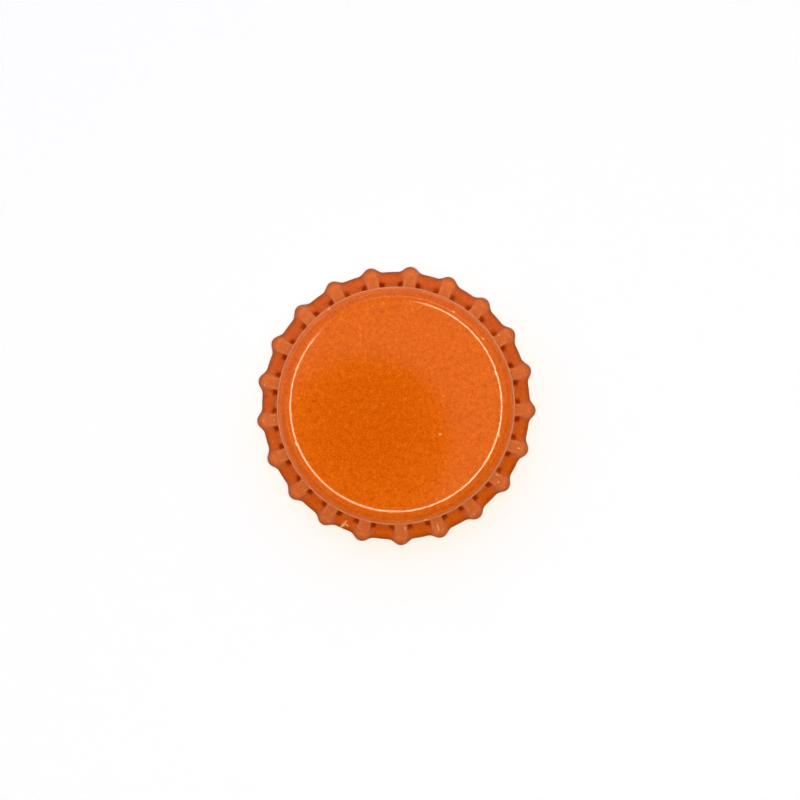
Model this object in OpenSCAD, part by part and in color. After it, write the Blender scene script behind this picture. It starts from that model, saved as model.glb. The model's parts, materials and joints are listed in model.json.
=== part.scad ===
// Crown cork: a domed, toothed cap of pressed sheet with a moulded seal inside.
// It stands on its skirt: z = 0 is the plane that the skirt rests on, and +Z is the cap's axis.

/* [Shell] */
// Overall height, from the resting plane to the middle of the panel
cap_h = 6.0; // [5.4:0.05:7.0]
// Inside diameter of the straight wall, which goes over the bottle's mouth
bore_d = 26.75; // [26.0:0.05:27.4]
// Thickness of the sheet
sheet = 0.235; // [0.17:0.005:0.30]

/* [Panel] */
// Outside radius of the panel's dome
dome_r = 165; // [120:1:220]
// Outside radius of the corner between panel and wall
corner_r = 1.7; // [1.3:0.05:2.0]

/* [Teeth] */
// Number of teeth
tooth_count = 21; // [18:1:24]
// How far the tips of the teeth stand out from the straight wall
skirt_reach = 2.44; // [2.1:0.02:2.8]
// How far the cut edge between the teeth is set back from the tips
tooth_depth = 0.66; // [0.4:0.02:0.9]
// Height of the tooth tips above the edge between the teeth
tooth_rise = 0.15; // [0:0.05:0.4]
// Width of a tooth at the cut edge
tooth_w = 3.06; // [2.6:0.02:3.4]
// Width of a tooth where it leaves the wall
neck_w = 2.4; // [2.2:0.02:2.6]
// Width of the flat crest of a tooth where it leaves the wall
crest_w = 1.16; // [0.9:0.02:1.3]
// Radius of the bend where a tooth leaves the wall
tooth_bend = 0.8; // [0.6:0.05:1.2]
// Radius of the bend of the wall between the teeth
root_bend = 1.0; // [0.8:0.05:1.3]
// Plain wall between the corner and the teeth
neck_h = 0.4; // [0.3:0.02:0.6]
// Straight wall between the teeth, below the corner
root_wall = 1.75; // [1.3:0.05:1.9]

/* [Liner] */
// Gap between the seal's edge and the bore
liner_gap = 0.525; // [0.4:0.025:0.9]
// Thickness of the web across the panel
web_t = 0.3; // [0.2:0.02:0.5]
// Width of the sealing bead's face
bead_w = 2.0; // [1.2:0.1:2.8]
// Width of the slope between the bead's face and the seal's edge
bead_taper = 0.55; // [0.4:0.05:0.8]
// Depth of the bead's face below the crown of the panel's inside
bead_depth = 1.25; // [1.1:0.05:1.4]
// Slope of the bead's inner flank, from the axis
bead_slope = 40; // [20:1:55]
// Gap between seal and sheet
bond_gap = 0.02; // [0.01:0.005:0.05]

/* [Hidden] */

// Round stretches are true curves; this sets how finely they are drawn
$fn = 180;
// Lines across half a tooth and places of the lines down the skirt, as shares of its length
half_tooth_lines = 5;
skirt_shares = [0, 0.05, 0.12, 0.2, 0.33, 0.4, 0.47, 0.56, 1];
// How far the skirt's wall reaches up inside the corner's wall, and how far it is set in there
lap = 0.15;
lap_inset = 0.01;
// Taper at the foot of the corner's wall, where the skirt takes over
lap_taper = 0.1;
// Sheet left inside the straight wall for the bore to take off
bore_stock = 0.08;
// How far the corner's round stands proud of panel and wall, so that it cuts both cleanly
corner_proud = 0.002;
// Steps for slopes: share of the skirt's length, and degrees
share_step = 0.002;
angle_step = 0.02;

bore_r = bore_d / 2;
wall_r = bore_r + sheet;
tip_r = wall_r + skirt_reach;
root_r = tip_r - tooth_depth;
pitch = 360 / tooth_count;
dome_z = cap_h - dome_r;
corner_x = wall_r - corner_r;
corner_z = dome_z + sqrt((dome_r - corner_r)^2 - corner_x^2);
tooth_z = corner_z - neck_h;
seam_z = tooth_z + lap_taper;
root_z = corner_z - root_wall;
bore_low_z = root_z - root_bend / 4;
skirt_r = wall_r - lap_inset;
liner_r = bore_r - liner_gap;
bead_out_r = liner_r - bead_taper;
bead_in_r = bead_out_r - bead_w;

// Angle from the axis at which a line leaves a bend of radius bend at [skirt_r, z] to end at [end_r, end_z]
function flare(z, bend, end_r, end_z) =
    let(from_bend = [end_r - skirt_r - bend, end_z - z])
    atan2(from_bend.y, from_bend.x) + acos(-bend / norm(from_bend));

// The sheet's lower corner is the one that rests, so the outer corner lies higher by the sheet's slant
flat_edge_flare = flare(root_z, root_bend, root_r, 0);
root_edge_z = sheet * sin(flare(root_z, root_bend, root_r, sheet * sin(flat_edge_flare)));
tip_z = root_edge_z + tooth_rise;

// Point at share s along a path that goes straight down, bends outwards and runs straight to its end
function path(s, start_z, bend, end_r, end_z) =
    let(
        turn = flare(start_z, bend, end_r, end_z),
        straight = tooth_z - start_z,
        arc = bend * turn * PI / 180,
        bent = [skirt_r + bend * (1 - cos(turn)), start_z - bend * sin(turn)],
        run = norm([end_r, end_z] - bent),
        way = s * (straight + arc + run),
        turned = (way - straight) / bend * 180 / PI
    )
    way < straight ? [skirt_r, tooth_z - way]
    : way < straight + arc ? [skirt_r + bend * (1 - cos(turned)), start_z - bend * sin(turned)]
    : bent + (way - straight - arc) * [sin(turn), -cos(turn)];

function root_path(s) = path(s, root_z, root_bend, root_r, root_edge_z);
function crest_path(s) = path(s, tooth_z, tooth_bend, tip_r, tip_z);

// Degrees that a width takes up at a radius
function degrees(width, r) = width / r * 180 / PI;

// Half the angle of a tooth's foot and of its flat crest, at share s down the skirt
function foot_angle(s) = degrees(neck_w, wall_r) / 2 * (1 - s) + degrees(tooth_w, root_r) / 2 * s;
function crest_angle(s) = degrees(crest_w, wall_r) / 2 * (1 - s^2);

// How far the sheet stands out at an angle from the tooth's middle: 1 on the crest, 0 between teeth,
// with a flank of two parabolas that meet half way down
function swell(s, angle) =
    let(way = (abs(angle) - crest_angle(s)) / (foot_angle(s) - crest_angle(s)))
    way <= 0 ? 1
    : way >= 1 ? 0
    : way < 0.5 ? 1 - 2 * way^2
    : 2 * (1 - way)^2;

// Point of the skirt's outside at share s and at an angle from the tooth's middle
function skirt_point(s, angle) =
    let(p = root_path(s) + swell(s, angle) * (crest_path(s) - root_path(s)))
    [p.x * cos(angle), p.x * sin(angle), p.y];

// Outward normal of the skirt's outside
function skirt_normal(s, angle) =
    let(
        down = skirt_point(min(s + share_step, 1), angle) - skirt_point(max(s - share_step, 0), angle),
        round = skirt_point(s, angle + angle_step) - skirt_point(s, angle - angle_step),
        n = cross(down, round)
    )
    n / norm(n);

// Point of the skirt's inside, with stock for the bore where the wall is straight
function inner_point(s, angle) =
    let(
        p = skirt_point(s, angle) - sheet * skirt_normal(s, angle),
        on_wall = root_path(s).y > root_z ? 1 : 0,
        r = norm([p.x, p.y]),
        r_cut = r - on_wall * bore_stock * (1 - swell(s, angle))
    )
    [p.x * r_cut / r, p.y * r_cut / r, p.z];

function ring_point(r, z, angle) = [r * cos(angle), r * sin(angle), z];

// Section of the skirt at line j of a tooth, from the lap down the outside and up the inside
function section(j) =
    let(
        share = j / half_tooth_lines,
        rows = len(skirt_shares),
        at = function(s) j > half_tooth_lines ? pitch / 2 : share * foot_angle(s)
    )
    [
        ring_point(skirt_r, seam_z + lap, at(0)),
        for (i = [0 : rows - 1]) skirt_point(skirt_shares[i], at(skirt_shares[i])),
        for (i = [rows - 1 : -1 : 0]) inner_point(skirt_shares[i], at(skirt_shares[i])),
        ring_point(bore_r - bore_stock, seam_z + lap, at(0)),
    ];

function turned(p, angle) =
    [p.x * cos(angle) - p.y * sin(angle), p.x * sin(angle) + p.y * cos(angle), p.z];

// The fluted skirt: sections joined all the way round
module skirt() {
    lines = [for (j = [-half_tooth_lines : half_tooth_lines + 1]) section(j)];
    around = tooth_count * len(lines);
    down = len(lines[0]);
    points = [for (t = [0 : tooth_count - 1], line = lines, p = line) turned(p, t * pitch)];
    function at(a, i) = (a % around) * down + i % down;
    faces = [
        for (a = [0 : around - 1], i = [0 : down - 1], half = [0, 1])
            half == 0 ? [at(a, i), at(a + 1, i), at(a + 1, i + 1)]
            : [at(a, i), at(a + 1, i + 1), at(a, i + 1)]
    ];
    polyhedron(points, faces);
}

// Half section of all that lies under the panel, the corner and the wall, each set in by inset
module cap_form(inset, low_z) {
    blend_x = corner_x * (dome_r - inset) / (dome_r - corner_r);
    intersection() {
        translate([0, low_z]) square([tip_r, cap_h]);
        union() {
            intersection() {
                translate([0, dome_z]) circle(dome_r - inset);
                square([blend_x, cap_h]);
            }
            translate([corner_x, corner_z]) circle(corner_r - inset + corner_proud);
            translate([corner_x / 2, 0]) square([wall_r - inset - corner_x / 2, corner_z]);
        }
    }
}

// Panel, corner and plain wall, still solid, with the wall's foot tapered in to the skirt
module crown_top() {
    rotate_extrude() intersection() {
        cap_form(0, seam_z);
        polygon([
            [0, seam_z],
            [wall_r - lap_taper, seam_z],
            [wall_r - lap_taper + cap_h, seam_z + cap_h],
            [0, seam_z + cap_h],
        ]);
    }
}

module crown_shell() {
    color("darkorange") difference() {
        union() {
            crown_top();
            skirt();
        }
        rotate_extrude() cap_form(sheet, bore_low_z);
    }
}

// Seal: a thin web under the panel and a thick bead that the bottle's mouth presses on
module sealing_liner() {
    crown_z = cap_h - sheet - bond_gap;
    face_z = cap_h - sheet - bead_depth;
    bead_h = crown_z - face_z;
    color("whitesmoke") rotate_extrude() intersection() {
        cap_form(sheet + bond_gap, 0);
        square([liner_r, cap_h]);
        union() {
            difference() {
                translate([0, face_z]) square([liner_r, cap_h]);
                translate([0, dome_z]) circle(dome_r - sheet - bond_gap - web_t);
            }
            polygon([
                [bead_in_r, face_z],
                [bead_out_r, face_z],
                [liner_r, face_z + bead_taper],
                [liner_r, crown_z],
                [bead_in_r - bead_h * tan(bead_slope), crown_z],
            ]);
        }
    }
}

crown_shell();
sealing_liner();
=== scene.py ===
"""Looks of a crown cork: a shell of orange enamelled tinplate with a moulded seal, seen from above."""

import json
import math

import bpy
import numpy as np
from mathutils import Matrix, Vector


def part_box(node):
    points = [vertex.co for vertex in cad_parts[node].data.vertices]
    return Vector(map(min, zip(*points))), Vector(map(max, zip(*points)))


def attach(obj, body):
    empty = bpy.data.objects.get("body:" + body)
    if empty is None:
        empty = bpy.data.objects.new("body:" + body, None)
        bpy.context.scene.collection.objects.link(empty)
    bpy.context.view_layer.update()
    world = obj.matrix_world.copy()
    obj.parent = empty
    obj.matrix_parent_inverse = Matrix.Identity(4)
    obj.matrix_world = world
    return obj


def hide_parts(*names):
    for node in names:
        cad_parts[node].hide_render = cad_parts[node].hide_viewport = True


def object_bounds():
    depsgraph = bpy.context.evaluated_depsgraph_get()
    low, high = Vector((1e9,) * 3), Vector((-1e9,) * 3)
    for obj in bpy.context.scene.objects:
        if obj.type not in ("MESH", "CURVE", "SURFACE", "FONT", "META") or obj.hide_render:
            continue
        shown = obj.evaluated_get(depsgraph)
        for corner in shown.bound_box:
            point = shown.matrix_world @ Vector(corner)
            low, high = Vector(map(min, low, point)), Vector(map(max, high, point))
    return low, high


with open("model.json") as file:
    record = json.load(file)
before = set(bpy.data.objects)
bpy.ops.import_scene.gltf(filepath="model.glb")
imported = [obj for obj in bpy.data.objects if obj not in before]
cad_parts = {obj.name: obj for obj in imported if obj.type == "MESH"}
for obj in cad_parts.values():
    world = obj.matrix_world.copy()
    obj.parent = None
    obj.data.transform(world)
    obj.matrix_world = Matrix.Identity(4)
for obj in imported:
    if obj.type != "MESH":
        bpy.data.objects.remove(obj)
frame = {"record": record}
cad_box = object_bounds()

# Sizes of the cap are in millimetres, as in the part's source, and go to metres where a mesh is made
MM = 0.001
shell_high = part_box("crown_shell")[1]
mouth = next(m for m in frame["record"]["mounts"] if m["name"] == "bottle_mouth")
CAP_H = shell_high.z / MM
# The tips of the teeth end just inside the solids' box
TIP_GAP = 0.003
TIP_R = shell_high.x / MM - TIP_GAP
BORE_R = mouth["dims"]["r_mm"]
SHEET = 0.235
WALL_R = BORE_R + SHEET
DOME_R = 165.0
CORNER_R = 1.7
TEETH = 21
PITCH = 2 * math.pi / TEETH
ROOT_R = 15.39
TOOTH_RISE = 0.15
TOOTH_W = 3.06
NECK_W = 2.4
CREST_W = 1.16
TOOTH_BEND = 0.8
ROOT_BEND = 1.0
NECK_H = 0.4
ROOT_WALL = 1.75
LINER_R = 12.85
WEB = 0.3
BEAD_IN_R = 10.3
BEAD_OUT_R = 12.3
BEAD_DEPTH = 1.25
BEAD_FLANK_H = 0.64
BEAD_SLOPE = math.radians(40)
BOND_GAP = 0.02

DOME_Z = CAP_H - DOME_R
CORNER_X = WALL_R - CORNER_R
CORNER_Z = DOME_Z + math.sqrt((DOME_R - CORNER_R) ** 2 - CORNER_X**2)
TOOTH_Z = CORNER_Z - NECK_H
ROOT_Z = CORNER_Z - ROOT_WALL
BLEND = math.asin(CORNER_X / (DOME_R - CORNER_R))

# Forms too fine for the solids: lengths over which lines are eased, and the round of the cut edge
CROWN_EASE = 0.75
LINER_EASE = 0.16
EDGE_ROUND = 0.045
# Rough way from the corner down to the cut edge, which sets where the round of that edge begins
WALL_WAY = 4.45

# Fineness of the meshes: points of an arc and of a short run, step of an eased line, lines round the axis,
# and rings down each stretch, where a pair is for the panel's rim and for what follows it
ARC_POINTS = 200
RUN_POINTS = 40
LINE_STEP = 0.02
LINES_PER_TOOTH = 28
LINER_LINES = 240
PANEL_RINGS = 11
OUTER_RINGS = (19, 24)
INNER_RINGS = (7, 14)
SKIRT_RINGS = 46
INNER_SKIRT_RINGS = 31
EDGE_RINGS = 4
# The panel's rim starts this far inside the corner's centre and is this wide
RIM_BEFORE = 0.5
RIM_WIDE = 1.1
# Every so many points of the seal's line become a ring, outside this radius and inside it
LINER_FINE_R = BEAD_IN_R - 1.5
LINER_FINE = 4
LINER_COARSE = 30

# Where the enamel is painted pale, as rub marks and as highlights, or dark, as shade in the pockets, and how
# much: by radius and height on the crown, by share down the skirt from the wall to the cut edge, and by way
# down a tooth's flank from its crest to its foot
RIM_HIGHLIGHT_R = (WALL_R - 0.2, WALL_R - 0.08)
RIM_HIGHLIGHT_Z = (CORNER_Z - 0.1, CORNER_Z + 0.1)
CREST_RUB_AND_SHEEN = 0.17
# Swell at which a crest, pale from rubbing and painted sheen, begins, at the wall and at the cut edge, and
# over how much swell it comes up
CREST_BARE = (0.7, 0.2)
CREST_FADE = 0.3
CREST_EDGE_HIGHLIGHT = 0.36
CREST_EDGE_HIGHLIGHT_SHARES = (0.02, 0.06, 0.3, 0.56)
CREST_EDGE_HIGHLIGHT_WIDE = 0.2
TIP_GLINT = 0.15
TIP_GLINT_SHARE = 0.68
TIP_GLINT_LONG = 0.06
TIP_GLINT_WIDE = 0.03
POCKET_SHARES = (0.02, 0.06)
POCKET_R = (WALL_R + 0.45, WALL_R + 0.7)
POCKET_FLANK = (0.1, 0.32, 0.85, 1.2)
# Way from the cut edge that the middle of the panel is given
PANEL_WAY = 20.0


def flare(start_z, bend, end_r, end_z):
    """Angle from the axis of the straight run that leaves a bend at the wall and ends at (end_r, end_z)."""
    x, y = end_r - WALL_R - bend, end_z - start_z
    return math.atan2(y, x) + math.acos(-bend / math.hypot(x, y))


# The sheet's lower corner is the one that rests, so the outer corner lies higher by the sheet's slant
FLAT_EDGE_FLARE = flare(ROOT_Z, ROOT_BEND, ROOT_R, 0)
ROOT_EDGE_Z = SHEET * math.sin(flare(ROOT_Z, ROOT_BEND, ROOT_R, SHEET * math.sin(FLAT_EDGE_FLARE)))
TIP_Z = ROOT_EDGE_Z + TOOTH_RISE


def bent_line(share, start_z, bend, end_r, end_z):
    """Radius and height at a share of a line: down the wall, an arc outwards, and straight to its end."""
    turn = flare(start_z, bend, end_r, end_z)
    straight, arc = TOOTH_Z - start_z, bend * turn
    bent_r, bent_z = WALL_R + bend * (1 - math.cos(turn)), start_z - bend * math.sin(turn)
    way = share * (straight + arc + math.hypot(end_r - bent_r, end_z - bent_z))
    turned = np.clip((way - straight) / bend, 0, turn)
    left = np.clip(way - straight - arc, 0, None)
    r = WALL_R + bend * (1 - np.cos(turned)) + left * math.sin(turn)
    z = TOOTH_Z - np.minimum(way, straight) - bend * np.sin(turned) - left * math.cos(turn)
    return r, z


def flank_way(share, angle):
    """Way down a tooth's flank: 0 at the crest's edge, 1 at the foot, less and more beyond them."""
    off = np.abs((angle + PITCH / 2) % PITCH - PITCH / 2)
    foot = NECK_W / 2 / WALL_R * (1 - share) + TOOTH_W / 2 / ROOT_R * share
    crest = CREST_W / 2 / WALL_R * (1 - share**2)
    return (off - crest) / (foot - crest)


def swell(share, angle):
    """1 on the crest of a tooth and 0 between teeth; each flank is two parabolas that meet half way down."""
    way = np.clip(flank_way(share, angle), 0, 1)
    return np.where(way < 0.5, 1 - 2 * way**2, 2 * (1 - way) ** 2)


def skirt_point(share, angle):
    """Outside of the skirt: the line between teeth, moved by the swell towards the line down a crest."""
    root_r, root_z = bent_line(share, ROOT_Z, ROOT_BEND, ROOT_R, ROOT_EDGE_Z)
    crest_r, crest_z = bent_line(share, TOOTH_Z, TOOTH_BEND, TIP_R, TIP_Z)
    rise = swell(share, angle)
    r = root_r + rise * (crest_r - root_r)
    z = root_z + rise * (crest_z - root_z)
    return np.stack([r * np.cos(angle), r * np.sin(angle), z], -1)


def unit(v):
    """Vectors of length 1."""
    return v / np.linalg.norm(v, axis=-1, keepdims=True)


def skirt_frame(share, angle):
    """Unit vectors down the skirt and out of it, from differences of skirt_point."""
    share_step, angle_step = 0.001, 0.0003
    down = skirt_point(share, angle) - skirt_point(share - share_step, angle)
    along = skirt_point(share, angle + angle_step) - skirt_point(share, angle - angle_step)
    return unit(down), unit(np.cross(down, along))


def ways(line):
    """Way along a line to each of its points."""
    return np.concatenate([[0], np.cumsum(np.linalg.norm(np.diff(line, axis=0), axis=1))])


def at_ways(line, picks):
    """Points at chosen ways along a line."""
    way = ways(line)
    return np.stack([np.interp(picks, way, line[:, k]) for k in (0, 1)], -1)


def soften(line, size):
    """A line of evenly spaced points, each moved to the weighted mean of its neighbours over a length."""
    end = ways(line)[-1]
    points = at_ways(line, np.linspace(0, end, int(end / LINE_STEP)))
    reach = int(size / LINE_STEP)
    weight = np.hanning(2 * reach + 3)[1:-1]
    before = 2 * points[:1] - points[reach:0:-1]
    after = 2 * points[-1:] - points[-2:-reach - 2:-1]
    padded = np.concatenate([before, points, after])
    mean = [np.convolve(padded[:, k], weight / weight.sum(), "valid") for k in (0, 1)]
    return np.stack(mean, -1)


def arc_line(centre_r, centre_z, radius, tilt):
    """Points of an arc in the half section, at angles from the axis."""
    return np.stack([centre_r + radius * np.sin(tilt), centre_z + radius * np.cos(tilt)], -1)


def crown_line(inset):
    """Half section of panel, corner and plain wall, each set in by inset and eased into the next."""
    wall_z = np.linspace(CORNER_Z, TOOTH_Z, RUN_POINTS)[1:]
    return soften(np.concatenate([
        arc_line(0, DOME_Z, DOME_R - inset, BLEND * np.linspace(0, 1, ARC_POINTS)),
        arc_line(CORNER_X, CORNER_Z, CORNER_R - inset, np.linspace(BLEND, math.pi / 2, ARC_POINTS)[1:]),
        np.stack([np.full(len(wall_z), WALL_R - inset), wall_z], -1),
    ]), CROWN_EASE)


def circle(count):
    """Evenly spaced angles, all the way round."""
    return np.linspace(0, 2 * math.pi, count, endpoint=False)


def spun(line, angle):
    """Rings of points: each point of a half section, turned round the axis."""
    r, z = line[:, 0, None], line[:, 1, None]
    return np.stack([r * np.cos(angle), r * np.sin(angle), np.broadcast_to(z, (len(z), angle.size))], -1)


def crown_rows(inset, angle, rim_rings, wall_rings):
    """Rings of the crown's line: wide steps across the panel, narrow ones at its rim, then to the teeth."""
    line = crown_line(inset)
    rim = CORNER_X - RIM_BEFORE
    rim_end = rim + RIM_WIDE
    picks = np.concatenate([
        np.linspace(0, rim, PANEL_RINGS)[1:],
        np.linspace(rim, rim_end, rim_rings)[1:],
        np.linspace(rim_end, ways(line)[-1], wall_rings)[1:-1],
    ])
    return spun(at_ways(line, picks), angle)


def cut_edge(angle):
    """Rings round the sheet's cut edge: a small round, the bare face, and a small round to the inside."""
    turn = np.linspace(0, math.pi / 2, EDGE_RINGS)[1:]
    back = turn[::-1]
    deep = SHEET / EDGE_ROUND
    along = np.concatenate([np.sin(turn), np.sin(back), [0]]) * EDGE_ROUND - EDGE_ROUND
    depth = np.concatenate([1 - np.cos(turn), deep - 1 + np.cos(back), [deep]]) * EDGE_ROUND
    down, out = skirt_frame(1.0, angle)
    return skirt_point(1.0, angle) + along[:, None, None] * down - depth[:, None, None] * out


def closed_grid(name, rows, first_pole, last_pole, bands):
    """Mesh of rings of points, joined ring to ring and closed by a fan to a pole at each end.

    bands holds (first ring, material) pairs: the faces from that ring on take that material.
    """
    count, around = rows.shape[:2]
    at = np.arange(count * around).reshape(count, around)
    beside = np.roll(at, -1, axis=1)
    quads = np.stack([at[:-1], at[1:], beside[1:], beside[:-1]], -1).reshape(-1, 4)
    first = np.stack([np.full(around, at.size), at[0], beside[0]], -1)
    last = np.stack([at[-1], np.full(around, at.size + 1), beside[-1]], -1)
    points = np.concatenate([rows.reshape(-1, 3), [first_pole, last_pole]]) * MM
    corners = np.concatenate([quads.ravel(), first.ravel(), last.ravel()])
    starts = np.concatenate([4 * np.arange(len(quads)), quads.size + 3 * np.arange(2 * around)])
    ring_band = np.searchsorted([ring for ring, _ in bands], np.arange(count - 1), side="right") - 1
    fan_bands = np.repeat([0, len(bands) - 1], around)
    mesh = bpy.data.meshes.new(name)
    mesh.vertices.add(len(points))
    mesh.vertices.foreach_set("co", points.ravel())
    mesh.loops.add(len(corners))
    mesh.loops.foreach_set("vertex_index", corners)
    mesh.polygons.add(len(starts))
    mesh.polygons.foreach_set("loop_start", starts)
    for _, material in bands:
        mesh.materials.append(material)
    mesh.polygons.foreach_set("material_index", np.concatenate([np.repeat(ring_band, around), fan_bands]))
    mesh.update(calc_edges=True)
    mesh.validate()
    mesh.shade_smooth()
    made = bpy.data.objects.new(name, mesh)
    bpy.context.scene.collection.objects.link(made)
    return made


def add_values(piece, name, values, at_first_pole=0.0):
    """Keeps numbers on a piece's first rings and first pole, for its material to read, and 0 on the rest."""
    numbers = np.zeros(len(piece.data.vertices), np.float32)
    numbers[: values.size] = values.ravel()
    numbers[-2] = at_first_pole
    piece.data.attributes.new(name, "FLOAT", "POINT").data.foreach_set("value", numbers)


def crown_rim_highlight(points):
    """How far the crown is painted pale as a highlight: on the rim, where the corner turns down into the
    wall.
    """
    radius = np.linalg.norm(points[..., :2], axis=-1)
    return np.interp(radius, RIM_HIGHLIGHT_R, [0, 1]) * np.interp(points[..., 2], RIM_HIGHLIGHT_Z, [0, 1])


def skirt_rub_and_highlights(share, angle):
    """How far the skirt is painted pale: rubbed crests with painted sheen, painted highlights on their edges
    near the wall, and a painted glint by each tip.
    """
    rise = swell(share, angle)
    # crests: rub marks with painted sheen; their edges near the wall: painted highlights; a painted glint by
    # each tip
    crest = np.clip((rise - np.interp(share, [0, 1], CREST_BARE)) / CREST_FADE, 0, 1)
    near_wall = np.interp(share, CREST_EDGE_HIGHLIGHT_SHARES, [0, 1, 1, 0])
    crest_edge_highlight = near_wall * np.clip(1 - np.abs(flank_way(share, angle)) / CREST_EDGE_HIGHLIGHT_WIDE, 0, 1)
    tip_glint = np.exp(-((share - TIP_GLINT_SHARE) / TIP_GLINT_LONG) ** 2 - ((1 - rise) / TIP_GLINT_WIDE) ** 2)
    return CREST_RUB_AND_SHEEN * crest + CREST_EDGE_HIGHLIGHT * crest_edge_highlight + TIP_GLINT * tip_glint


def pocket_shading(share, angle):
    """1 in the painted shade of the pocket on each side of a tooth's neck, close to the wall, and 0 away
    from it.
    """
    radius = np.linalg.norm(skirt_point(share, angle)[..., :2], axis=-1)
    below_wall = np.interp(share, POCKET_SHARES, [0, 1])
    on_flank = np.interp(flank_way(share, angle), POCKET_FLANK, [0, 1, 1, 0])
    return below_wall * np.interp(radius, POCKET_R, [1, 0]) * on_flank


def make_shell(enamel, cut_metal, lacquer):
    """The pressed shell: rings down the outside to the cut edge, round that edge, and back up the inside."""
    angle = circle(TEETH * LINES_PER_TOOTH)
    share = np.linspace(0, 1, SKIRT_RINGS)[:, None]
    share[-1] = 1 - EDGE_ROUND / WALL_WAY
    crown = crown_rows(0, angle, *OUTER_RINGS)
    outside = np.concatenate([crown, skirt_point(share, angle)])
    edge = cut_edge(angle)
    inner_share = np.linspace(1, 0, INNER_SKIRT_RINGS)[1:, None]
    inside = np.concatenate([
        skirt_point(inner_share, angle) - SHEET * skirt_frame(inner_share, angle)[1],
        crown_rows(SHEET, angle, *INNER_RINGS)[::-1],
    ])
    rows = np.concatenate([outside, edge, inside])
    bands = [(0, enamel), (len(outside) - 1, cut_metal), (len(outside) + len(edge) - 1, lacquer)]
    made = closed_grid("crown_shell_pressed", rows, (0, 0, CAP_H), (0, 0, CAP_H - SHEET), bands)
    steps = np.linalg.norm(np.diff(outside, axis=0), axis=-1)
    add_values(made, "edge_way", np.cumsum(steps[::-1], axis=0)[::-1], PANEL_WAY)
    add_values(made, "rub_and_highlight", np.concatenate([crown_rim_highlight(crown), skirt_rub_and_highlights(share, angle)]))
    add_values(made, "pocket_shade", np.concatenate([np.zeros(crown.shape[:2]), pocket_shading(share, angle)]))
    return made


def make_liner(compound):
    """The moulded seal: its half section, with soft corners, turned round the axis."""
    face_z = CAP_H - SHEET - BEAD_DEPTH
    top_inset = SHEET + BOND_GAP
    web_r = DOME_R - top_inset - WEB
    top = crown_line(top_inset)
    flank_r = BEAD_IN_R - BEAD_FLANK_H * math.tan(BEAD_SLOPE)
    line = soften(np.concatenate([
        top[top[:, 0] < LINER_R],
        [[BEAD_OUT_R, face_z], [BEAD_IN_R, face_z]],
        arc_line(0, DOME_Z, web_r, np.linspace(math.asin(flank_r / web_r), 0, RUN_POINTS)),
    ]), LINER_EASE)
    every = np.where(line[:, 0] > LINER_FINE_R, LINER_FINE, LINER_COARSE)
    kept = line[np.arange(len(line)) % every == 0][1:]
    rows = spun(kept, circle(LINER_LINES))
    poles = [(0, 0, z) for z in line[[0, -1], 1]]
    return closed_grid("sealing_liner_moulded", rows, *poles, [(0, compound)])


def feed(tree, socket, value):
    """Links a socket to a value, or sets it."""
    if isinstance(value, bpy.types.NodeSocket):
        tree.links.new(value, socket)
    else:
        socket.default_value = value


def put(tree, kind, inputs, **settings):
    """Adds a node with its settings and its inputs."""
    made = tree.nodes.new(kind)
    for key, value in settings.items():
        setattr(made, key, value)
    for key, value in inputs.items():
        feed(tree, made.inputs[key], value)
    return made


def calc(tree, operation, *values):
    """One step of arithmetic."""
    return put(tree, "ShaderNodeMath", dict(enumerate(values)), operation=operation).outputs[0]


def vector_calc(tree, operation, output, *values):
    """One step of vector arithmetic."""
    return put(tree, "ShaderNodeVectorMath", dict(enumerate(values)), operation=operation).outputs[output]


def scaled(tree, vector, scale):
    """A vector times a number."""
    return put(tree, "ShaderNodeVectorMath", {0: vector, "Scale": scale}, operation="SCALE").outputs[0]


def step_up(tree, value, low, high, to_low=0.0, to_high=1.0):
    """A smooth step from to_low at low to to_high at high."""
    inputs = {"Value": value, "From Min": low, "From Max": high, "To Min": to_low, "To Max": to_high}
    return put(tree, "ShaderNodeMapRange", inputs, interpolation_type="SMOOTHSTEP").outputs["Result"]


def between(tree, value, rise, fall, share):
    """A smooth hump: up to share over the rise, and down to 0 over the fall."""
    return calc(tree, "MULTIPLY", step_up(tree, value, *rise), step_up(tree, value, *fall, share, 0.0))


def mix(tree, share, first, second):
    """A colour between two colours."""
    inputs = {0: share, 6: first, 7: second}
    return put(tree, "ShaderNodeMix", inputs, data_type="RGBA", clamp_factor=True).outputs[2]


def two_tone(tree, colour, value, dark_at, pale_at, share, inks):
    """A colour with a dark ink mixed in where a value is low, and a pale ink where it is high."""
    dark, pale = inks
    colour = mix(tree, step_up(tree, value, *dark_at, share, 0.0), colour, dark)
    return mix(tree, step_up(tree, value, *pale_at, 0.0, share), colour, pale)


def noise(tree, vector, scale, detail=2.0, roughness=0.5):
    """Cloudy noise from 0 to 1."""
    inputs = {"Vector": vector, "Scale": scale, "Detail": detail, "Roughness": roughness}
    return put(tree, "ShaderNodeTexNoise", inputs, noise_dimensions="3D").outputs[0]


def group(name, inputs, outputs):
    """An empty node group with its sockets, and its input and output nodes."""
    tree = bpy.data.node_groups.new(name, "ShaderNodeTree")
    for label, kind in inputs:
        tree.interface.new_socket(label, in_out="INPUT", socket_type=kind)
    for label, kind in outputs:
        tree.interface.new_socket(label, in_out="OUTPUT", socket_type=kind)
    return tree, tree.nodes.new("NodeGroupInput").outputs, tree.nodes.new("NodeGroupOutput").inputs


def place(tree, made_group, inputs):
    """Puts a node group into a material."""
    return put(tree, "ShaderNodeGroup", inputs, node_tree=made_group).outputs


# Specks: how much their sizes spread, the least size, and the share of a dot that is full
SPECK_SPREAD = 0.16
SPECK_SIZE = 0.1
SPECK_CORE = 0.4
# Turned lines: how fast they change round the axis
LINE_ROUND = 0.5


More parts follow.
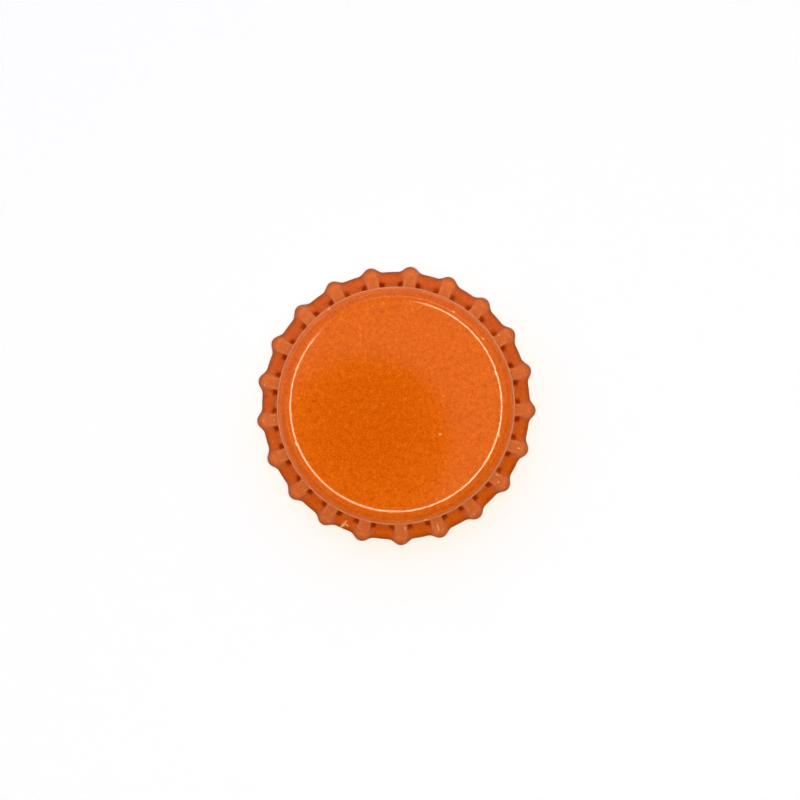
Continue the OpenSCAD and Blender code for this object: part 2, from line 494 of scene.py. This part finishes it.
def make_specks():
    """Fine specks: round dots at scattered points, a share of them pale and a share dark."""
    tree, given, out = group(
        "fine_specks",
        [("Place", "NodeSocketVector"), ("Fineness", "NodeSocketFloat"), ("Share", "NodeSocketFloat")],
        [("Pale", "NodeSocketFloat"), ("Dark", "NodeSocketFloat")],
    )
    cell = put(tree, "ShaderNodeTexVoronoi", {"Vector": given["Place"], "Scale": given["Fineness"]}).outputs
    tone = put(tree, "ShaderNodeSeparateColor", {0: cell["Color"]}).outputs
    size = calc(tree, "MULTIPLY_ADD", tone[1], SPECK_SPREAD, SPECK_SIZE)
    dot = step_up(tree, calc(tree, "DIVIDE", cell["Distance"], size), SPECK_CORE, 1.0, 1.0, 0.0)
    is_pale = calc(tree, "LESS_THAN", tone[0], given["Share"])
    is_dark = calc(tree, "GREATER_THAN", tone[0], calc(tree, "SUBTRACT", 1.0, given["Share"]))
    feed(tree, out["Pale"], calc(tree, "MULTIPLY", dot, is_pale))
    feed(tree, out["Dark"], calc(tree, "MULTIPLY", dot, is_dark))
    return tree


def make_turned_lines():
    """Fine lines round the axis: noise that is fine along radius and height and long round the axis."""
    tree, given, out = group(
        "turned_lines",
        [("Place", "NodeSocketVector"), ("Fineness", "NodeSocketFloat")],
        [("Height", "NodeSocketFloat")],
    )
    part = put(tree, "ShaderNodeSeparateXYZ", {0: given["Place"]}).outputs
    squares = [calc(tree, "POWER", part[k], 2.0) for k in (0, 1)]
    radius = calc(tree, "SQRT", calc(tree, "ADD", *squares))
    angle = calc(tree, "ARCTAN2", part[1], part[0])
    swept = put(tree, "ShaderNodeCombineXYZ", {
        0: calc(tree, "MULTIPLY", radius, given["Fineness"]),
        1: calc(tree, "MULTIPLY", part[2], given["Fineness"]),
        2: calc(tree, "MULTIPLY", angle, LINE_ROUND),
    })
    feed(tree, out["Height"], noise(tree, swept.outputs[0], scale=1.0))
    return tree


def make_nick():
    """A thin nick: 1 on the line from Start to End, falling to 0 at Width from it."""
    tree, given, out = group(
        "nick",
        [("Place", "NodeSocketVector"), ("Start", "NodeSocketVector"), ("End", "NodeSocketVector"),
         ("Width", "NodeSocketFloat")],
        [("Mask", "NodeSocketFloat")],
    )
    reach = vector_calc(tree, "SUBTRACT", 0, given["End"], given["Start"])
    away = vector_calc(tree, "SUBTRACT", 0, given["Place"], given["Start"])
    long = vector_calc(tree, "DOT_PRODUCT", 1, reach, reach)
    share = calc(tree, "DIVIDE", vector_calc(tree, "DOT_PRODUCT", 1, away, reach), long)
    clamped = put(tree, "ShaderNodeClamp", {"Value": share}).outputs[0]
    nearest = scaled(tree, reach, clamped)
    gap = vector_calc(tree, "LENGTH", 1, vector_calc(tree, "SUBTRACT", 0, away, nearest))
    feed(tree, out["Mask"], step_up(tree, gap, 0.0, given["Width"], 1.0, 0.0))
    return tree


# Painted shade on the panel, a darker patch: its middle, how ragged it is, and the distances over which it
# fades
SHADE_PATCH_CENTRE = (-3.0, -2.5, CAP_H)
SHADE_PATCH_RAGGED = 7.0
SHADE_PATCH_FADE = (5.0, 15.5)
# Small nicks and painted glints, such as those on the corner's bright ring and the Y in a valley, as (start,
# end, half width), seen from above, and how much their torn bounds vary in width
NICKS_AND_GLINTS = [
    ((11.14, 4.28), (11.28, 3.92), 0.19),
    ((11.76, -2.74), (11.84, -3.06), 0.19),
    ((-11.22, -4.62), (-11.08, -4.88), 0.19),
    ((-5.74, -14.06), (-5.44, -13.76), 0.24),
    ((-5.40, -13.72), (-5.24, -13.40), 0.16),
    ((-5.36, -13.78), (-5.06, -13.96), 0.18),
    ((5.22, -13.46), (5.36, -14.00), 0.13),
    ((3.76, -12.88), (3.96, -12.84), 0.13),
    ((1.5, -13.8), (1.55, -14.1), 0.11),
    ((11.7, -7.45), (12.0, -7.55), 0.1),
    ((11.95, -8.3), (12.1, -8.4), 0.12),
    ((14.1, -4.35), (14.35, -4.4), 0.1),
    ((9.55, 8.0), (9.7, 7.95), 0.12),
    ((6.1, 10.95), (6.25, 10.9), 0.12),
    ((-8.1, 10.7), (-7.9, 10.8), 0.12),
    ((5.1, -3.0), (5.2, -3.1), 0.13),
]
NICK_TORN = (0.3, 1.5)

# Ways up the outside from the cut edge, in millimetres, over which a look comes or goes, or comes and goes
DARK_EDGE_WAY = (0.05, 0.16)
SOFT_EDGE_WAY = (0.0, 1.0)
SPECK_END_WAY = (3.9, 4.3)
SKIRT_SHADE_WAY = (4.2, 5.6)
GLOSS_WAY = (4.2, 5.2)
DRAWN_WAYS = ((4.4, 5.0), (6.6, 7.4))
SHADE_BAND_WAYS = ((5.3, 6.0), (6.1, 7.1))
VARNISH_WAY = (6.55, 6.95)

# Ranges of a noise or a mask over which a look comes or goes; a pair of ranges is for dark and for pale
GRAIN_AT = ((0.28, 0.5), (0.52, 0.74))
FINE_AT = ((0.28, 0.5), (0.5, 0.72))
FLECK_AT = ((0.34, 0.45), (0.57, 0.68))
DRAWN_AT = (0.56, 0.7)
RUB_AND_HIGHLIGHT_AT = (0.25, 0.6)
POCKET_AT = (0.3, 0.6)
POCKET_DULL_AT = (0.0, 0.7)
NICK_TORN_AT = (0.3, 0.7)
CREST_GLINT_AT = (0.06, 0.13)

# How strongly each look of the enamel shows, as a share, or as the shares at the two ends of its range
GRAIN_SHARE = 0.7
FINE_SHARE = 0.4
FLECK_SHARES = (0.4, 0.72)
DRAWN_LINE_SHEEN_SHARE = 0.7
RIDGE_SHARE = 0.5
PAINTED_SHADE_SHARE = 0.22
RUB_AND_HIGHLIGHT_SHARES = (0.75, 1.0)
POCKET_SHADE_SHARES = (0.5, 0.95)
SOFT_EDGE_SHARE = 0.42
DARK_EDGE_SHARE = 0.85
CREST_GLINT_SHARE = 0.7
SCAR_AND_GLINT_SHARE = 0.9
VARNISH_SHARES = (0.34, 0.81)
VARNISH_ON_RUB_AND_HIGHLIGHT = 0.28
VARNISH_ROUGH = (0.28, 0.04)
INK_ROUGH = (0.35, 0.5)

# Inks of the enamel, painted light and shade among them; a pair is dark and pale, and the panel's pair is in
# the patch of painted shade and away from it
PANEL_SHADE_INKS = ((0.70, 0.106, 0.0004, 1), (0.80, 0.130, 0.002, 1))
GRAIN_INKS = ((0.54, 0.070, 0.0003, 1), (0.98, 0.22, 0.015, 1))
FINE_INKS = ((0.48, 0.058, 0.0003, 1), (1.0, 0.25, 0.02, 1))
FLECK_INKS = ((0.42, 0.045, 0.0003, 1), (1.0, 0.30, 0.03, 1))
DRAWN_LINE_SHEEN_INK = (0.98, 0.26, 0.05, 1)
PAINTED_SHADE_INK = (0.50, 0.055, 0.0004, 1)
RUB_AND_HIGHLIGHT_INK = (1.0, 0.29, 0.05, 1)
POCKET_SHADE_INK = (0.38, 0.021, 0.0002, 1)
EDGE_INK = (0.13, 0.02, 0.003, 1)
SCAR_AND_GLINT_INK = (1.0, 0.56, 0.23, 1)

# Colours of the other materials: the two ends of their cloud, and their specks
STEEL_TONES = ((0.16, 0.09, 0.055, 1), (0.34, 0.24, 0.17, 1), (0.12, 0.06, 0.03, 1))
LACQUER_TONES = ((0.56, 0.47, 0.30, 1), (0.68, 0.60, 0.43, 1), (0.33, 0.26, 0.15, 1))
COMPOUND_TONES = ((0.68, 0.68, 0.63, 1), (0.76, 0.76, 0.72, 1), (0.42, 0.41, 0.38, 1))

# The middle range of a noise, over which roughness goes from one end to the other
NOISE_MIDDLE = (0.2, 0.8)

specks = make_specks()
turned_lines = make_turned_lines()
nick = make_nick()


def new_material(name, **constants):
    """A new material with its Principled shader set, and object places in millimetres."""
    material = bpy.data.materials.new(name)
    material.use_nodes = True
    tree = material.node_tree
    shader = tree.nodes["Principled BSDF"]
    for key, value in constants.items():
        shader.inputs[key.replace("_", " ")].default_value = value
    in_metres = tree.nodes.new("ShaderNodeTexCoord").outputs["Object"]
    return material, tree, shader, scaled(tree, in_metres, 1 / MM)


def attribute(tree, name):
    """A number kept on the piece's points."""
    return put(tree, "ShaderNodeAttribute", {}, attribute_name=name).outputs["Fac"]


def relief(tree, shader, height, deep):
    """Feeds a height to the shader's normal; deep is what a height of 1 stands for, in millimetres."""
    inputs = {"Height": height, "Distance": deep * MM, "Strength": 1.0}
    feed(tree, shader.inputs["Normal"], put(tree, "ShaderNodeBump", inputs).outputs[0])


def ink_and_panel_shade(tree, where, fine):
    """Colour of the ink: a darker, ragged patch of painted shade on the panel, with grain, fine grain and
    flecks over all.
    """
    # painted shade: the panel's ink is darker in a ragged patch left of and below its middle
    ragged = calc(tree, "MULTIPLY", noise(tree, where, scale=0.22, detail=3.0), SHADE_PATCH_RAGGED)
    shade_patch_gap = calc(tree, "ADD", vector_calc(tree, "DISTANCE", 1, where, SHADE_PATCH_CENTRE), ragged)
    away = step_up(tree, shade_patch_gap, *SHADE_PATCH_FADE)
    colour = mix(tree, away, *PANEL_SHADE_INKS)
    grain = noise(tree, where, scale=1.7, detail=5.0, roughness=0.8)
    colour = two_tone(tree, colour, grain, *GRAIN_AT, GRAIN_SHARE, GRAIN_INKS)
    colour = two_tone(tree, colour, fine, *FINE_AT, FINE_SHARE, FINE_INKS)
    fleck = noise(tree, where, scale=2.6, detail=5.0, roughness=0.85)
    shown = step_up(tree, away, 0.0, 1.0, *FLECK_SHARES)
    return two_tone(tree, colour, fleck, *FLECK_AT, shown, FLECK_INKS)


def scars_and_glints(tree, where, fine, edge_way, rub_and_highlight):
    """Scars and painted glints in the ink: 1 in the nicks and glints, whose bounds are torn, and on specks
    of painted glint over the rubbed crests.
    """
    part = put(tree, "ShaderNodeSeparateXYZ", {0: where}).outputs
    flat = put(tree, "ShaderNodeCombineXYZ", {0: part[0], 1: part[1]}).outputs[0]
    torn = step_up(tree, fine, *NICK_TORN_AT, *NICK_TORN)
    scar_and_glint_mask = 0.0
    for start, end, width in NICKS_AND_GLINTS:
        torn_width = calc(tree, "MULTIPLY", torn, width)
        inputs = {"Place": flat, "Start": (*start, 0), "End": (*end, 0), "Width": torn_width}
        scar_and_glint_mask = calc(tree, "MAXIMUM", place(tree, nick, inputs)["Mask"], scar_and_glint_mask)
    speck = place(tree, specks, {"Place": where, "Fineness": 1.5, "Share": 0.3})["Pale"]
    on_skirt = step_up(tree, edge_way, *SPECK_END_WAY, CREST_GLINT_SHARE, 0.0)
    on_crest = calc(tree, "MULTIPLY", step_up(tree, rub_and_highlight, *CREST_GLINT_AT), on_skirt)
    return calc(tree, "MAXIMUM", scar_and_glint_mask, calc(tree, "MULTIPLY", speck, on_crest))


def orange_enamel():
    """Glossy orange ink and varnish: draw lines with painted sheen, painted shade on the panel, skirt and
    corner, painted highlight on the rim, rubbed crests with painted sheen and highlights, painted shade in
    the pockets, a dark edge, and scars and painted glints.
    """
    material, tree, shader, where = new_material("orange_enamel", Specular_IOR_Level=0.0, Coat_IOR=1.5)
    edge_way, rub_and_highlight, pocket_shade = (attribute(tree, name) for name in ("edge_way", "rub_and_highlight", "pocket_shade"))
    fine = noise(tree, where, scale=6.0, detail=2.0, roughness=0.7)
    colour = ink_and_panel_shade(tree, where, fine)
    # pale turned lines on the corner: draw lines in the relief, their paleness a painted reflection
    lines = place(tree, turned_lines, {"Place": where, "Fineness": 9.0})["Height"]
    on_corner = between(tree, edge_way, *DRAWN_WAYS, 1.0)
    drawn_sheen_share = calc(tree, "MULTIPLY", on_corner, DRAWN_LINE_SHEEN_SHARE)
    drawn_sheen = calc(tree, "MULTIPLY", step_up(tree, lines, *DRAWN_AT), drawn_sheen_share)
    colour = mix(tree, drawn_sheen, colour, DRAWN_LINE_SHEEN_INK)
    # painted shade: the skirt below the corner is darker, and so is a band on the corner's lower part
    colour = mix(tree, step_up(tree, edge_way, *SKIRT_SHADE_WAY, PAINTED_SHADE_SHARE, 0.0), colour, PAINTED_SHADE_INK)
    colour = mix(tree, between(tree, edge_way, *SHADE_BAND_WAYS, PAINTED_SHADE_SHARE), colour, PAINTED_SHADE_INK)
    # pale ink where rubbed, with painted sheen and highlights on the rim, the crests and the tips
    patchy = step_up(tree, noise(tree, where, scale=0.35, detail=3.0), *RUB_AND_HIGHLIGHT_AT, *RUB_AND_HIGHLIGHT_SHARES)
    rub_and_highlight = calc(tree, "MULTIPLY", rub_and_highlight, patchy)
    colour = mix(tree, rub_and_highlight, colour, RUB_AND_HIGHLIGHT_INK)
    # painted shade: dark ink in the pockets beside each tooth's neck, close to the wall
    deep = step_up(tree, noise(tree, where, scale=0.6, detail=2.0), *POCKET_AT, *POCKET_SHADE_SHARES)
    colour = mix(tree, calc(tree, "MULTIPLY", pocket_shade, deep), colour, POCKET_SHADE_INK)
    soft_edge = step_up(tree, edge_way, *SOFT_EDGE_WAY, SOFT_EDGE_SHARE, 0.0)
    dark_edge = step_up(tree, edge_way, *DARK_EDGE_WAY, DARK_EDGE_SHARE, 0.0)
    colour = mix(tree, calc(tree, "MAXIMUM", soft_edge, dark_edge), colour, EDGE_INK)
    # pale marks: nicks in the ink, and painted glints on the corner's bright ring, in a valley and over the
    # crests
    scar_and_glint_mask = scars_and_glints(tree, where, fine, edge_way, rub_and_highlight)
    colour = mix(tree, calc(tree, "MULTIPLY", scar_and_glint_mask, SCAR_AND_GLINT_SHARE), colour, SCAR_AND_GLINT_INK)
    feed(tree, shader.inputs["Base Color"], colour)
    on_panel = step_up(tree, edge_way, *VARNISH_WAY, *VARNISH_SHARES)
    varnish = calc(tree, "MULTIPLY_ADD", rub_and_highlight, VARNISH_ON_RUB_AND_HIGHLIGHT, on_panel)
    not_in_pocket = step_up(tree, pocket_shade, *POCKET_DULL_AT, 1.0, 0.0)
    feed(tree, shader.inputs["Coat Weight"], calc(tree, "MULTIPLY", varnish, not_in_pocket))
    feed(tree, shader.inputs["Coat Roughness"], step_up(tree, edge_way, *GLOSS_WAY, *VARNISH_ROUGH))
    mottle = noise(tree, where, scale=0.5, detail=3.0)
    feed(tree, shader.inputs["Roughness"], step_up(tree, mottle, *NOISE_MIDDLE, *INK_ROUGH))
    ridges = calc(tree, "MULTIPLY", calc(tree, "MULTIPLY", lines, on_corner), RIDGE_SHARE)
    height = calc(tree, "ADD", ridges, noise(tree, where, scale=1.6, detail=2.0))
    relief(tree, shader, height, deep=0.0012)
    return material


def clouded(tree, shader, where, cloud, tones, rough, fineness, share, strength):
    """Colour and roughness that follow a cloud between two ends, with dark specks in a third colour."""
    low, high, dark = tones
    speck = place(tree, specks, {"Place": where, "Fineness": fineness, "Share": share})["Dark"]
    colour = mix(tree, calc(tree, "MULTIPLY", speck, strength), mix(tree, cloud, low, high), dark)
    feed(tree, shader.inputs["Base Color"], colour)
    feed(tree, shader.inputs["Roughness"], step_up(tree, cloud, *NOISE_MIDDLE, *rough))


def cut_steel():
    """The sheared edge of the sheet: bare grey steel with fine lines across it and brown tarnish."""
    material, tree, shader, where = new_material("cut_steel", Metallic=0.6)
    stretched = put(tree, "ShaderNodeMapping", {"Vector": where, "Scale": (9.0, 9.0, 1.5)}).outputs[0]
    lines = noise(tree, stretched, scale=1.0, detail=2.0)
    clouded(tree, shader, where, lines, STEEL_TONES,
            rough=(0.3, 0.5), fineness=2.0, share=0.5, strength=0.7)
    relief(tree, shader, lines, deep=0.006)
    return material


def gold_lacquer():
    """The inside of the sheet: tinplate under a thin gold lacquer, with draw lines and specks."""
    material, tree, shader, where = new_material(
        "gold_lacquer", Metallic=0.9, Coat_Weight=0.4, Coat_Roughness=0.15)
    cloud = noise(tree, where, scale=0.25, detail=3.0)
    clouded(tree, shader, where, cloud, LACQUER_TONES,
            rough=(0.22, 0.38), fineness=1.8, share=0.3, strength=0.5)
    lines = place(tree, turned_lines, {"Place": where, "Fineness": 8.0})["Height"]
    relief(tree, shader, lines, deep=0.004)
    return material


def liner_compound():
    """The seal's soft off-white compound: faint cloud, a few grey specks and the mould's turned lines."""
    material, tree, shader, where = new_material("liner_compound", Specular_IOR_Level=0.4)
    cloud = noise(tree, where, scale=0.3, detail=3.0)
    clouded(tree, shader, where, cloud, COMPOUND_TONES,
            rough=(0.4, 0.55), fineness=1.0, share=0.15, strength=0.5)
    lines = place(tree, turned_lines, {"Place": where, "Fineness": 4.0})["Height"]
    relief(tree, shader, lines, deep=0.012)
    return material


shell = make_shell(orange_enamel(), cut_steel(), gold_lacquer())
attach(shell, "root")
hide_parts("crown_shell")

liner = make_liner(liner_compound())
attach(liner, "root")
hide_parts("sealing_liner")

# The studio, in metres and degrees. Lamp and card lie flat above the cap; a tilt is an angle from its axis
LAMP_Z = 0.6
LAMP_TILTS = (15.4, 21.2)
LAMP_COLOUR = (1.0, 0.98, 0.7, 1)
LAMP_GLOW = 14.4
# The lamp's gap: its place round the axis, and the angles to either side over which the glow comes up
LAMP_GAP = 109.5
LAMP_GAP_SIDES = (22, 42)
# Where the lamp glows more, how much, and how far to either side
LAMP_PEAK = -15.0
LAMP_PEAK_GAIN = 1.28
LAMP_PEAK_SIDE = 70
CARD_Z = LAMP_Z + 0.001
CARD_TILT = 15.2
CARD_HOLE_R = 0.0005
CARD_COLOUR = (1, 1, 1, 1)
CARD_GLOW = 0.36
# The round shade in the card's middle: its centre, and the radii over which it fades
SHADE_CENTRE = (-0.031, -0.039, CARD_Z)
SHADE_R = (0.077, 0.103)
RING_LINES = 192
# The room is brightest towards a window
WINDOW_ANGLE = math.radians(108)
WINDOW_WAY = (math.cos(WINDOW_ANGLE), math.sin(WINDOW_ANGLE), 0.0)
ROOM_COLOUR = (0.88, 0.9, 1.76, 1)
ROOM_GLOWS = (0.02, 0.60)
FLOOR_HALF = 3.0
FIBRE_FINENESS = 900.0
PAPER_WHITES = ((0.985, 0.985, 0.985, 1), (1.0, 1.0, 1.0, 1))
PAPER_GREY = (0.8, 0.8, 0.8, 1)

# The photograph's framing: the camera's height, the view's width at the height of the tips, turn and offset
CAMERA_Z = 0.55
VIEW_WIDE = 91.87 * MM
VIEW_TURN = math.radians(1.997)
VIEW_ACROSS = 0.463 * MM
VIEW_UP = 0.656 * MM
SENSOR_WIDE = 36.0
CLIP_NEAR = 0.01
CLIP_FAR = 10.0


def stage_mesh(name, points, faces, material):
    """A thing of the studio, which is no piece of the cap: a mesh of points in metres."""
    mesh = bpy.data.meshes.new(name)
    mesh.from_pydata(points, [], faces)
    mesh.materials.append(material)
    made = bpy.data.objects.new(name, mesh)
    bpy.context.scene.collection.objects.link(made)


def stage_material(name):
    """A new material with no shader yet, and object places in metres."""
    material = bpy.data.materials.new(name)
    material.use_nodes = True
    tree = material.node_tree
    tree.nodes.remove(tree.nodes["Principled BSDF"])
    return material, tree, tree.nodes.new("ShaderNodeTexCoord").outputs["Object"]


def cover(tree, kind, inputs):
    """Puts a shader on a material's surface."""
    feed(tree, tree.nodes["Material Output"].inputs["Surface"], put(tree, kind, inputs).outputs[0])


def flat_ring(name, inner_r, outer_r, z, material):
    """A flat ring, in metres: two circles of points joined by quads."""
    points = spun(np.array([[inner_r, z], [outer_r, z]]), circle(RING_LINES))
    at = np.arange(2 * RING_LINES).reshape(2, RING_LINES)
    beside = np.roll(at, -1, axis=1)
    faces = np.stack([at[0], beside[0], beside[1], at[1]], -1)
    stage_mesh(name, points.reshape(-1, 3).tolist(), faces.tolist(), material)


def ring_r(tilt):
    """Radius at the lamp's height of what is seen from the cap at a tilt, in degrees."""
    return LAMP_Z * math.tan(math.radians(tilt))


def off_angle(tree, angle, middle):
    """How far a direction round the axis is from a middle, which is given in degrees."""
    return calc(tree, "ABSOLUTE", calc(tree, "SUBTRACT", angle, math.radians(middle)))


def pale_floor():
    """A white paper floor. The camera and mirrors see it a little whiter, and its shadow stays."""
    material, tree, where = stage_material("white_paper")
    path = tree.nodes.new("ShaderNodeLightPath").outputs
    mirrored = calc(tree, "MAXIMUM", path["Is Glossy Ray"], path["Is Transmission Ray"])
    seen = calc(tree, "MAXIMUM", path["Is Camera Ray"], mirrored)
    white = mix(tree, noise(tree, where, scale=FIBRE_FINENESS, detail=2.0), *PAPER_WHITES)
    cover(tree, "ShaderNodeBsdfDiffuse", {"Color": mix(tree, seen, PAPER_GREY, white)})
    low, half = cad_box[0].z, FLOOR_HALF
    points = [(-half, -half, low), (half, -half, low), (half, half, low), (-half, half, low)]
    stage_mesh("floor", points, [(0, 1, 2, 3)], material)


def round_lamp():
    """A round lamp over the cap, with a gap on its far side and a stronger stretch at its right."""
    material, tree, where = stage_material("lamp")
    part = put(tree, "ShaderNodeSeparateXYZ", {0: where}).outputs
    angle = calc(tree, "ARCTAN2", part[1], part[0])
    gap_sides = [math.radians(side) for side in LAMP_GAP_SIDES]
    glow = step_up(tree, off_angle(tree, angle, LAMP_GAP), *gap_sides, 0.0, LAMP_GLOW)
    peak = off_angle(tree, angle, LAMP_PEAK)
    stronger = step_up(tree, peak, 0.0, math.radians(LAMP_PEAK_SIDE), LAMP_PEAK_GAIN, 1.0)
    strength = calc(tree, "MULTIPLY", stronger, glow)
    cover(tree, "ShaderNodeEmission", {"Color": LAMP_COLOUR, "Strength": strength})
    inner, outer = LAMP_TILTS
    flat_ring("lamp", ring_r(inner), ring_r(outer), LAMP_Z, material)


def shaded_card():
    """A pale card inside the lamp's ring, with a round shade near its middle."""
    material, tree, where = stage_material("shaded_card")
    gap = vector_calc(tree, "DISTANCE", 1, where, SHADE_CENTRE)
    strength = step_up(tree, gap, *SHADE_R, 0.0, CARD_GLOW)
    cover(tree, "ShaderNodeEmission", {"Color": CARD_COLOUR, "Strength": strength})
    flat_ring("shaded_card", CARD_HOLE_R, ring_r(CARD_TILT), CARD_Z, material)


def dim_room():
    """A dim, bluish room that is brighter towards its window."""
    world = bpy.data.worlds.new("dim_room")
    world.use_nodes = True
    tree = world.node_tree
    way = tree.nodes.new("ShaderNodeTexCoord").outputs["Generated"]
    towards = vector_calc(tree, "DOT_PRODUCT", 1, way, WINDOW_WAY)
    shade = tree.nodes["Background"]
    feed(tree, shade.inputs["Color"], ROOM_COLOUR)
    feed(tree, shade.inputs["Strength"], step_up(tree, towards, -1.0, 1.0, *ROOM_GLOWS))
    bpy.context.scene.world = world


def camera_above():
    """Camera straight above, turned by the photograph's two degrees and set off by its framing."""
    data = bpy.data.cameras.new("camera")
    data.sensor_width = SENSOR_WIDE
    data.lens = SENSOR_WIDE * (CAMERA_Z - TIP_Z * MM) / VIEW_WIDE
    data.clip_start = CLIP_NEAR
    data.clip_end = CLIP_FAR
    made = bpy.data.objects.new("camera", data)
    x = VIEW_ACROSS * math.cos(VIEW_TURN) - VIEW_UP * math.sin(VIEW_TURN)
    y = VIEW_ACROSS * math.sin(VIEW_TURN) + VIEW_UP * math.cos(VIEW_TURN)
    made.location = (x, y, CAMERA_Z)
    made.rotation_euler = (0.0, 0.0, VIEW_TURN)
    bpy.context.scene.collection.objects.link(made)
    bpy.context.scene.camera = made


pale_floor()
round_lamp()
shaded_card()
dim_room()
camera_above()
bpy.context.scene.view_settings.view_transform = "Standard"
